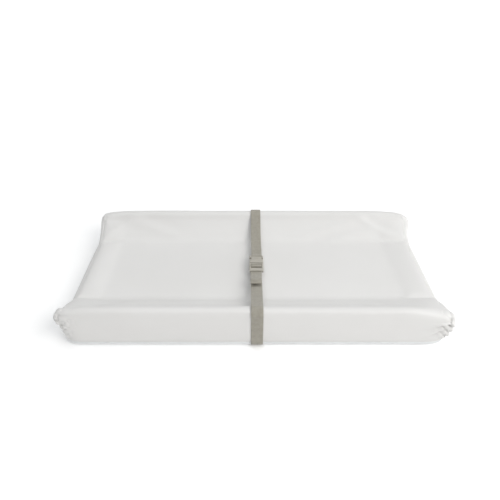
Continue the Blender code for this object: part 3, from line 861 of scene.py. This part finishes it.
WEB_OFFSET = 0.00070
SPLIT_Y = -0.1715
RIB_COUNT = 9
RIB_DEPTH = 0.00011
# Between a strap and what it lies on.
GAP = 0.0003


def resampled(path, step):
    points = np.array(path, float)
    along = run_lengths(points)
    at = np.linspace(0, along[-1], max(2, int(ceil(along[-1] / step)) + 1))
    return values_at(at, along, points), at


def wander(y):
    """How far the strap strays sideways along its way."""
    return 0.0005 * sin(17 * y + 0.6) + 0.0003 * sin(41 * y)


def ribbon(name, path, node, step=0.0016, shift=0.0):
    """A ribbed strap along path, given in (y, z). It is closed, and its map is in metres."""
    line, at = resampled(path, step)
    tangents = np.gradient(line, axis=0)
    tangents /= np.linalg.norm(tangents, axis=1)[:, None]
    normals = np.stack([-tangents[:, 1], tangents[:, 0]], axis=1)
    columns = RIB_COUNT * 4
    u = np.linspace(-0.5, 0.5, columns + 1)
    edge = np.clip((np.abs(u) - 0.46) / 0.04, 0, 1)
    half = WEB_THICKNESS / 2 * np.sqrt(1 - 0.85 * edge**2)
    half -= RIB_DEPTH * 0.5 * (1 + np.cos(2 * pi * RIB_COUNT * u))
    verts, maps = [], []
    for side in (1, -1):
        for (y, z), (ny, nz), s in zip(line, normals, at):
            x0 = STRAP_X + wander(y) + shift
            for a, h in zip(u, half):
                verts.append((x0 + a * WEB_WIDTH, y + side * h * ny, z + side * h * nz))
                maps.append(((a + 0.5) * WEB_WIDTH, s))
    faces = strip_faces(len(line) - 1, columns)
    obj = object_of(name, verts, faces, WEBBING, smooth_angle=50, maps=maps)
    return placed(obj, None, node), float(at[-1])


def strap(name, path, node, body, held, rests_on, **options):
    """A strap along path, which rides on body when it is given one."""
    obj, length = ribbon(name, path, node, **options)
    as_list(rests_on)
    return placed(obj, body)


def strap_route(end_y):
    """The front strap's whole way in (y, z), from its end under the pad to end_y."""
    floor_z = GAP + WEB_THICKNESS / 2
    turn = BASE_RADIUS + WEB_OFFSET
    corner_y = -HALF_DEPTH + BASE_RADIUS
    path = [(corner_y + 0.050, floor_z)]
    path += arc((corner_y, floor_z + turn), turn, 1.5 * pi, pi, 12)
    ridge = arc(RIDGE_CENTRE, RIDGE_RADIUS + WEB_OFFSET, pi, radians(65), 24)
    down = Vector((cos(radians(25)), -sin(radians(25))))
    first = Vector(ridge[-1])
    run = bezier((first, first + 0.036 * down, (-0.088, LOAD_Z), (-RUN_START, LOAD_Z)), 40)
    path += ridge + run[1:]
    if end_y > -RUN_START:
        path.append((end_y, LOAD_Z))
    return path


def split_route(path):
    """The part fixed to the pad and the part that spans from the ridge to the buckle."""
    crossing = max(i for i, (y, z) in enumerate(path) if y < SPLIT_Y and z > 0.05)
    return path[: crossing + 2], path[crossing + 1 :]


fixed, spanning = split_route(strap_route(-RUN_START))
strap("front_webbing_anchored", fixed, "front_webbing", "pad", "stretched", ["cover_top"])
ends = ["front_webbing_anchored", "buckle_plug"]
front_run = strap("front_webbing_span", spanning, "front_webbing", None, "hung", ends)
flat_path = [(-RUN_START - 0.0004, LOAD_Z), (-0.0143, LOAD_Z)]
front_flat = strap(
    "front_webbing_at_buckle", flat_path, "front_webbing", "strap", "hung", ["buckle_plug"]
)
strap("rear_webbing_anchored", mirrored(fixed), "rear_webbing", "pad", "stretched", ["cover_top"])
ends = ["rear_webbing_anchored", "buckle_receiver"]
rear_run = strap("rear_webbing_span", mirrored(spanning), "rear_webbing", None, "hung", ends)

# The rear strap's end goes round the receiver's bar and is sewn back on itself.
BUCKLE_Z = 0.072
BAR_HALF = 0.0015
BAR_FRONT = 0.0187
RECEIVER_BACK = 0.022
TURN = GAP + WEB_THICKNESS / 2
loop = [(RUN_START + 0.0004, LOAD_Z)]
loop += arc((BAR_FRONT, BUCKLE_Z - BAR_HALF), TURN, 1.5 * pi, pi, 6)
loop += arc((BAR_FRONT, BUCKLE_Z + BAR_HALF), TURN, pi, pi / 2, 6)
back = (RECEIVER_BACK, BUCKLE_Z + BAR_HALF + TURN)
loop += bezier((back, (0.028, back[1]), (0.028, TAIL_Z), (0.034, TAIL_Z)), 10)
loop.append((0.058, TAIL_Z))
bar = ["buckle_receiver"]
strap("rear_webbing_sewn_end", loop, "rear_webbing_loop", "strap", "folded", bar, step=0.0008)

# The front strap goes up behind the plug's middle bar, over it, and out under the end bar.
MIDDLE_BAR_REAR = -0.014
MIDDLE_BAR_FRONT = -0.0195
MIDDLE_BAR_TOP = 0.0745
TAIL_HINGE_Y = -0.03725
ROUND = 0.0012
up_y = MIDDLE_BAR_REAR + TURN
down_y = MIDDLE_BAR_FRONT - TURN
route = [(up_y - ROUND - 0.0006, LOAD_Z)]
route += arc((up_y - ROUND, LOAD_Z + ROUND), ROUND, 1.5 * pi, 2 * pi, 8)
route += arc((MIDDLE_BAR_REAR, MIDDLE_BAR_TOP), TURN, 0, pi / 2, 6)
route += arc((MIDDLE_BAR_FRONT, MIDDLE_BAR_TOP), TURN, pi / 2, pi, 6)
route += arc((down_y - ROUND, TAIL_Z + ROUND), ROUND, 0, -pi / 2, 8)
route.append((TAIL_HINGE_Y + 0.0012, TAIL_Z))
strap(
    "webbing_round_adjuster", route, "adjuster_loop", "plug", "folded", ["buckle_plug"], step=0.0006
)

# The loose tail with its folded hem.
TAIL_END = 0.090
# High enough to clear the strap below it as the plug comes out.
TAIL_RISE = 0.0088
TAIL_SHIFT = -0.0008
HEM_LENGTH = 0.010
run = strap_route(-RUN_START)
start = (TAIL_HINGE_Y - 0.0003, TAIL_Z)
end_z = np.interp(-TAIL_END, *np.array(run[-42:]).T)
end = (-TAIL_END, end_z + LAYER + TAIL_RISE)
reach = (TAIL_END + start[0]) / 3
slope = (end[1] - start[1]) / (end[0] - start[0])
upper = bezier(
    (start, (start[0] - reach, start[1]), (end[0] + reach, end[1] - slope * reach), end), 30
)
along = (Vector(upper[-1]) - Vector(upper[-2])).normalized()
under = Vector((-along.y, along.x))
tip = Vector(end)
folded = tip + under * LAYER
centre = (tip + folded) / 2
hem = []
for i in range(1, 9):
    angle = pi * i / 9
    out = along * sin(angle) - under * cos(angle)
    hem.append(tuple(centre + out * LAYER / 2))
hem += [tuple(folded), tuple(folded - along * HEM_LENGTH)]
tail_path = [(TAIL_HINGE_Y + 0.0010, TAIL_Z)] + upper + hem
on = ["front_webbing_span"]
tail = strap(
    "webbing_free_tail", tail_path, "webbing_tail", None, "laid", on, step=0.0008, shift=TAIL_SHIFT
)


# Stitches.

STITCH_RINGS = 6
STITCH_SIDES = 6


def stitch_shape():
    """A short thread that dips into the cloth at both ends, one unit long and thick."""
    points = []
    for i in range(STITCH_RINGS + 1):
        t = i / STITCH_RINGS
        radius = 0.5 * sqrt(max(1 - (2 * t - 1) ** 4, 0.03))
        lift = 0.55 * (1 - (2 * t - 1) ** 2) - 0.15
        for j in range(STITCH_SIDES):
            angle = 2 * pi * j / STITCH_SIDES
            points.append((t - 0.5, radius * cos(angle), radius * sin(angle) + lift))
    return np.array(points), tube_faces(STITCH_RINGS + 1, STITCH_SIDES)


def stitches(name, rows, material, length, pitch, thickness):
    """One mesh of stitches. Each row is a list of (place, normal) along a seam."""
    shape, shape_faces = stitch_shape()
    verts, faces = [], []
    for row in rows:
        places = np.array([tuple(p) for p, _ in row])
        normals = np.array([tuple(n) for _, n in row])
        at = run_lengths(places)
        count = max(int(at[-1] / pitch), 1)
        for i in range(count):
            middle = (i + 0.5) * at[-1] / count
            ends = values_at([middle - length / 2, middle + length / 2], at, places)
            normal = values_at(middle, at, normals)
            run_of = ends[1] - ends[0]
            size = np.linalg.norm(run_of)
            if size < 1e-6:
                continue
            axis = run_of / size
            side = np.cross(normal, axis)
            side /= max(np.linalg.norm(side), 1e-9)
            up = np.cross(axis, side)
            local = shape * np.array([size, thickness, thickness])
            laid = (ends[0] + ends[1]) / 2 + local @ np.array([axis, side, up])
            first = len(verts)
            verts.extend(map(tuple, laid))
            faces.extend(tuple(first + k for k in face) for face in shape_faces)
    mesh = bpy.data.meshes.new(name)
    mesh.from_pydata(verts, [], faces)
    mesh.shade_smooth()
    return link(name, mesh, material)


def flat_row(a, b, z, down):
    """A straight row on a level strap between two points in plan."""
    normal = Vector((0, 0, -1 if down else 1))
    return [
        (Vector((a[0] + (b[0] - a[0]) * t, a[1] + (b[1] - a[1]) * t, z)), normal)
        for t in np.linspace(0, 1, 12)
    ]


def box_stitch(y_low, y_high, z, down):
    """A box with a cross in it, as load-bearing webbing is sewn."""
    left, right = STRAP_X - 0.0096, STRAP_X + 0.0096
    corners = ((left, y_low), (right, y_low), (right, y_high), (left, y_high))
    rows = [flat_row(a, b, z, down) for a, b in zip(corners, corners[1:] + corners[:1])]
    rows.append(flat_row(corners[0], corners[2], z, down))
    rows.append(flat_row(corners[1], corners[3], z, down))
    return rows


WEB_STITCH = dict(length=0.0022, pitch=0.0027, thickness=0.00042)
for name, body, y_low, y_high, z, down in (
    ("sewn_end_box_stitch", "strap", 0.0365, 0.0555, TAIL_Z + 0.00072, False),
    ("front_anchor_box_stitch", "pad", -0.160, -0.142, 0.00042, True),
    ("rear_anchor_box_stitch", "pad", 0.142, 0.160, 0.00042, True),
):
    rows = box_stitch(y_low, y_high, z, down)
    placed(stitches(name, rows, WEB_THREAD, **WEB_STITCH), body)

lift = -under * (WEB_THICKNESS / 2 - 0.00003)
hem_rows = []
for back_by in (0.0035, 0.0078):
    spot = tip - along * back_by + lift
    hem_rows.append(
        [
            (Vector((STRAP_X + TAIL_SHIFT + x, spot.x, spot.y)), Vector((0, -under.x, -under.y)))
            for x in np.linspace(-0.0108, 0.0108, 12)
        ]
    )
placed(stitches("tail_hem_stitch", hem_rows, WEB_THREAD, **WEB_STITCH), "tail")

SPAN_END = RUN_START + 0.004
for span, side in ((front_run, 1), (rear_run, -1)):
    start, end = (STRAP_X, side * SPLIT_Y, 0.1), (STRAP_X, -side * SPAN_END, 0.1)
    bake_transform(span)
start, end = (STRAP_X, TAIL_HINGE_Y + 0.001, TAIL_Z), (STRAP_X, TAIL_HINGE_Y - 0.007, TAIL_Z)
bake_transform(tail)
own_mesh(front_flat)


# The cover's topstitching.

COVER_STITCH = dict(length=0.0030, pitch=0.0038, thickness=0.00050)
TOPSTITCH = 0.0036


def on_cover(points):
    row = []
    for point in points:
        place, normal = on_surface(point)
        row.append((place - normal * 0.00015, normal))
    return row


def plan_edge(z):
    """Points round the pad's plan at a height, from the middle of the left end and round again."""
    points = []
    for i, (cx, cy) in enumerate(((-1, 1), (1, 1), (1, -1), (-1, -1))):
        start = pi * (1 - i / 2)
        centre_of = (cx * (HALF_LENGTH - END_RADIUS), cy * (HALF_DEPTH - END_RADIUS))
        points += arc(centre_of, END_RADIUS, start, start - pi / 2, 8)
    path = [(-HALF_LENGTH, 0.0)] + points + [(-HALF_LENGTH, 0.0)]
    line, _ = resampled(path, 0.004)
    return [(x, y, z) for x, y in line]


seam_line = plan_edge(SEAM_HEIGHT + TOPSTITCH)
ZIP_END = 0.1385
open_part = [p for p in seam_line if not (p[0] < -HALF_LENGTH + 0.001 and abs(p[1]) < ZIP_END)]
profile = [(y, z) for y, z in outline(0.0) if z > SEAM_HEIGHT + 0.004]
profile, _ = resampled(profile, 0.004)
rows = [on_cover(open_part)]
for side in (-1, 1):
    rows.append(on_cover([(side * (END_SEAM - TOPSTITCH), y, z) for y, z in profile]))
zip_top = OPENING_TOP + 0.0022
edge_line = [(-HALF_LENGTH, y, zip_top) for y in np.linspace(-ZIP_END, ZIP_END, 70)]
rows.append(on_cover(edge_line))
for side in (-1, 1):
    side_line = [(-HALF_LENGTH, side * ZIP_END, z) for z in np.linspace(zip_top, 0.0165, 6)]
    rows.append(on_cover(side_line))
placed(stitches("cover_topstitching", rows, THREAD, **COVER_STITCH), "pad")
low_rows = [on_cover(plan_edge(SEAM_HEIGHT - TOPSTITCH))]
placed(stitches("bottom_topstitching", low_rows, THREAD, **COVER_STITCH), "pad")


# Grip dots on the underside, clear of the straps' anchored ends.

DOT_PITCH = 0.018
DOT_RADIUS = 0.0021
DOT_HEIGHT = 0.00038
DOT_BASE = 0.00045
DOT_MARGIN = 0.026
# Each ring of a dome: its share of the radius and of the height.
DOT_RINGS = ((1.0, 0.0), (0.86, 0.5), (0.5, 0.87))
DOT_SIDES = 12


def grip_dots():
    verts, faces = [], []
    turns = [2 * pi * j / DOT_SIDES for j in range(DOT_SIDES)]
    row = 0
    y = -HALF_DEPTH + DOT_MARGIN - 0.002
    while y < HALF_DEPTH - DOT_MARGIN + 0.004:
        x = -HALF_LENGTH + DOT_MARGIN + 0.002 + (DOT_PITCH / 2 if row % 2 else 0.0)
        while x < HALF_LENGTH - DOT_MARGIN:
            if abs(x - STRAP_X) > 0.022 or abs(y) < 0.128:
                first = len(verts)
                for share, height in DOT_RINGS:
                    radius = DOT_RADIUS * share
                    z = DOT_BASE - DOT_HEIGHT * height
                    for t in turns:
                        verts.append((x + radius * cos(t), y + radius * sin(t), z))
                verts.append((x, y, DOT_BASE - DOT_HEIGHT))
                tip = len(verts) - 1
                for j in range(DOT_SIDES):
                    k = (j + 1) % DOT_SIDES
                    for low in (first, first + DOT_SIDES):
                        high = low + DOT_SIDES
                        faces.append((low + k, low + j, high + j, high + k))
                    faces.append((tip - DOT_SIDES + k, tip - DOT_SIDES + j, tip))
                faces.append(tuple(range(first, first + DOT_SIDES)))
            x += DOT_PITCH
        y += DOT_PITCH * sqrt(3) / 2
        row += 1
    return object_of("underside_grip_dots", verts, faces, GRIP, smooth_angle=60)


placed(grip_dots(), "pad")


# The buckle and the zip's hard parts: the frame's shapes with eased edges and moulded detail.


MOULDED = (PLASTIC, "buckle_plastic")
CAST = (METAL, "zip_metal")


def eased(name, node, body, look, width, segments=2):
    """A finely finished copy of a frame node, which it stands for."""
    material, slot = look
    bm = bmesh.new()
    bm.from_mesh(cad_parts[node].data)
    bmesh.ops.remove_doubles(bm, verts=bm.verts, dist=0.00001)
    bmesh.ops.dissolve_limit(
        bm, angle_limit=radians(2), verts=bm.verts, edges=bm.edges, delimit={"NORMAL"}
    )
    bmesh.ops.recalc_face_normals(bm, faces=bm.faces)
    obj = object_from(bm, name, material)
    bevel = obj.modifiers.new("eased_edges", "BEVEL")
    bevel.width = width
    bevel.segments = segments
    bevel.limit_method = "ANGLE"
    bevel.angle_limit = radians(35)
    bevel.use_clamp_overlap = True
    apply_modifiers(obj)
    obj.data.shade_smooth()
    obj.data.set_sharp_from_angle(angle=radians(38))
    return placed(obj, body, node)


def grip_bars(name, body, bars):
    """Small rounded bars moulded on a part of the buckle. Each is (centre, half sizes)."""
    bm = bmesh.new()
    for centre, half in bars:
        made = bmesh.ops.create_cube(bm, size=2.0)["verts"]
        bmesh.ops.scale(bm, vec=half, verts=made)
        edges = list({edge for vert in made for edge in vert.link_edges})
        result = bmesh.ops.bevel(
            bm, geom=edges, offset=0.72 * min(half), segments=3, profile=0.5, affect="EDGES"
        )
        made = [v for v in set(result["verts"]) | {v for v in made if v.is_valid}]
        bmesh.ops.translate(bm, vec=centre, verts=made)
    return placed(object_from(bm, name, PLASTIC, smooth_angle=40), body)


BUCKLE_HALF = 0.0165
BUCKLE_TOP = BUCKLE_Z + 0.0045
PLUG_TOP = TAIL_Z + WEB_THICKNESS / 2 + 0.0033
END_BAR_Y = -0.0343
THUMB_RIB = (0.00045, 0.00028, 0.0017)
eased("buckle_receiver_shell", "buckle_receiver", "strap", MOULDED, 0.00045)
eased("buckle_plug_frame", "buckle_plug", "plug", MOULDED, 0.0004)
for side, sign in (("left", -1), ("right", 1)):
    eased(f"buckle_prong_{side}", f"prong_{side}", f"{side}_prong", MOULDED, 0.0004)
    thumb_x = STRAP_X + sign * (BUCKLE_HALF - 0.00205)
    ribs = [((thumb_x, y, BUCKLE_Z), THUMB_RIB) for y in (0.0071, 0.0083, 0.0095, 0.0107)]
    grip_bars(f"thumb_ribs_{side}", f"{side}_prong", ribs)
ribs = [
    ((STRAP_X, y, BUCKLE_TOP), (0.0075 - 0.9 * abs(y - 0.0105), 0.00042, 0.00030))
    for y in (0.0085, 0.0105, 0.0125)
]
grip_bars("receiver_top_ribs", "strap", ribs)
ribs = [
    ((STRAP_X + x, END_BAR_Y, PLUG_TOP), (0.00035, 0.0012, 0.00030))
    for x in np.linspace(-0.0115, 0.0115, 13)
]
grip_bars("end_bar_ribs", "plug", ribs)
eased("zip_stop_closed", "zip_stop_closed_end", "pad", CAST, 0.0002)
eased("zip_stop_open", "zip_stop_open_end", "pad", CAST, 0.0002)
eased("zip_slider_body", "zip_slider", "slider", CAST, 0.00018)
eased("zip_pull_tab", "zip_pull", "pull", CAST, 0.0002, segments=3)


# The zip's woven tapes and its spiral coils.

TAPE_X = -HALF_LENGTH + 0.0012
ZIP_Z = 0.0205
TAPE_HALF = 0.1377
TAPE_ROWS = 220
TAPE_COLUMNS = 18
COIL_PITCH = 0.0011
COIL_HALF = 0.1348
COIL_STEPS = 14
WIRE_RADIUS = 0.00021
WIRE_SIDES = 6


def zip_tape(name, node, z_near, z_far):
    """A thin tape with a corded edge beside the coil and fine ribs along it."""
    verts = []
    for side in (1, -1):
        for y in np.linspace(-TAPE_HALF, TAPE_HALF, TAPE_ROWS + 1):
            for t in np.linspace(0, 1, TAPE_COLUMNS + 1):
                thick = 0.00022 + 0.00012 * exp(-(((t - 0.10) / 0.08) ** 2))
                thick += 0.00003 * cos(2 * pi * 6 * t)
                wave = 0.00005 * sin(130 * y) * t
                verts.append((TAPE_X - side * thick + wave, y, z_near + (z_far - z_near) * t))
    faces = strip_faces(TAPE_ROWS, TAPE_COLUMNS)
    placed(object_of(name, verts, faces, TAPE, smooth_angle=50), "pad", node)


def zip_coil(name, node, centre_z, phase):
    """One coil of the zip: a flattened helix of nylon that meshes with the other."""
    turns = int(2 * COIL_HALF / COIL_PITCH)
    count = turns * COIL_STEPS + 1
    t = np.arange(count) / COIL_STEPS
    angle = 2 * pi * (t + phase)
    centres = np.stack(
        [
            TAPE_X - 0.00035 + 0.00062 * np.cos(angle),
            -COIL_HALF + COIL_PITCH * t,
            centre_z + 0.00105 * np.sin(angle),
        ],
        axis=1,
    )
    tangents = np.gradient(centres, axis=0)
    tangents /= np.linalg.norm(tangents, axis=1)[:, None]
    first = np.cross(tangents, (0.0, 1.0, 0.0))
    first /= np.linalg.norm(first, axis=1)[:, None]
    second = np.cross(tangents, first)
    around = [2 * pi * j / WIRE_SIDES for j in range(WIRE_SIDES)]
    rings = [centres + WIRE_RADIUS * (cos(a) * first + sin(a) * second) for a in around]
    verts = np.stack(rings, axis=1).reshape(-1, 3)
    faces = tube_faces(count, WIRE_SIDES)
    placed(object_of(name, verts, faces, COIL, smooth_angle=60), "pad", node)


zip_tape("zip_upper_tape", "zip_tape_upper", ZIP_Z + 0.0016, 0.0300)
zip_tape("zip_lower_tape", "zip_tape_lower", ZIP_Z - 0.0016, 0.0115)
zip_coil("zip_upper_coil", "zip_coil_upper", ZIP_Z + 0.00085, 0.0)
zip_coil("zip_lower_coil", "zip_coil_lower", ZIP_Z - 0.00085, 0.5)


# The scene.


# Each light: its kind, its place and the point it faces, and its settings. A sun's place only gives
# its direction. The softbox is near enough to light the right end more than the left.
LIGHTS = (
    (
        "top",
        "SUN",
        ((0.0, 0.1, 1.0), (0.0, 0.0, 0.0)),
        dict(angle=radians(60), energy=1.13, color=(0.955, 0.98, 1.0)),
    ),
    (
        "right",
        "SUN",
        ((1.0, 0.1, 0.5), (0.0, 0.0, 0.0)),
        dict(angle=radians(50), energy=0.78, color=(0.97, 0.985, 1.0)),
    ),
    (
        "softbox",
        "AREA",
        ((2.00, -1.87, 2.62), (0.0, 0.0, 0.05)),
        dict(shape="DISK", size=2.0, energy=64.0, color=(1.0, 0.985, 0.965)),
    ),
)
WORLD_STRENGTH = 0.28
# The floor's own glow: its least and most strength, and the distances from the pad between them.
GLOW_LEAST, GLOW_MOST = 0.16, 0.50
GLOW_NEAR, GLOW_FAR = 0.6, 2.5


def build_scene():
    bm = bmesh.new()
    bmesh.ops.create_grid(bm, x_segments=1, y_segments=1, size=12.0)
    floor = object_from(bm, "floor")
    pale, white = (0.93, 0.93, 0.93, 1.0), (1.0, 1.0, 1.0, 1.0)
    s = Shader("floor_paint", 0.9, Base_Color=pale, Emission_Color=white)
    away = s.node("ShaderNodeVectorMath", {"operation": "LENGTH"}, Vector=s.place)
    glow = s.node(
        "ShaderNodeMapRange",
        {"From Min": GLOW_NEAR, "From Max": GLOW_FAR, "To Min": GLOW_LEAST, "To Max": GLOW_MOST},
        Value=away.outputs["Value"],
    )
    s.link(glow.outputs["Result"], "Emission Strength")
    floor.data.materials.append(s.material)
    world = bpy.data.worlds.new("studio")
    world.use_nodes = True
    background = world.node_tree.nodes["Background"]
    background.inputs["Color"].default_value = white
    # Its light on the pad stays low, but what is seen of it is as pale as the floor.
    path = world.node_tree.nodes.new("ShaderNodeLightPath")
    level = world.node_tree.nodes.new("ShaderNodeMapRange")
    level.inputs["To Min"].default_value = WORLD_STRENGTH
    level.inputs["To Max"].default_value = 1.0
    world.node_tree.links.new(path.outputs["Is Camera Ray"], level.inputs["Value"])
    world.node_tree.links.new(level.outputs["Result"], background.inputs["Strength"])
    scene.world = world
    for name, kind, (place, aim), settings in LIGHTS:
        light = bpy.data.lights.new(name, kind)
        for key, value in settings.items():
            setattr(light, key, value)
        lamp = link(name, light)
        lamp.location = place
        towards = Vector(place) - Vector(aim)
        lamp.rotation_euler = towards.to_track_quat("Z", "Y").to_euler()
        lamp.visible_camera = False
    camera = bpy.data.cameras.new("camera")
    camera.lens = 32.4
    camera.sensor_width = 36.0
    view = link("camera", camera)
    view.location = (-0.005, -0.856, 0.728)
    view.rotation_euler = (radians(54.09), 0.0, 0.0)
    scene.camera = view
    scene.view_settings.view_transform = "Standard"


build_scene()
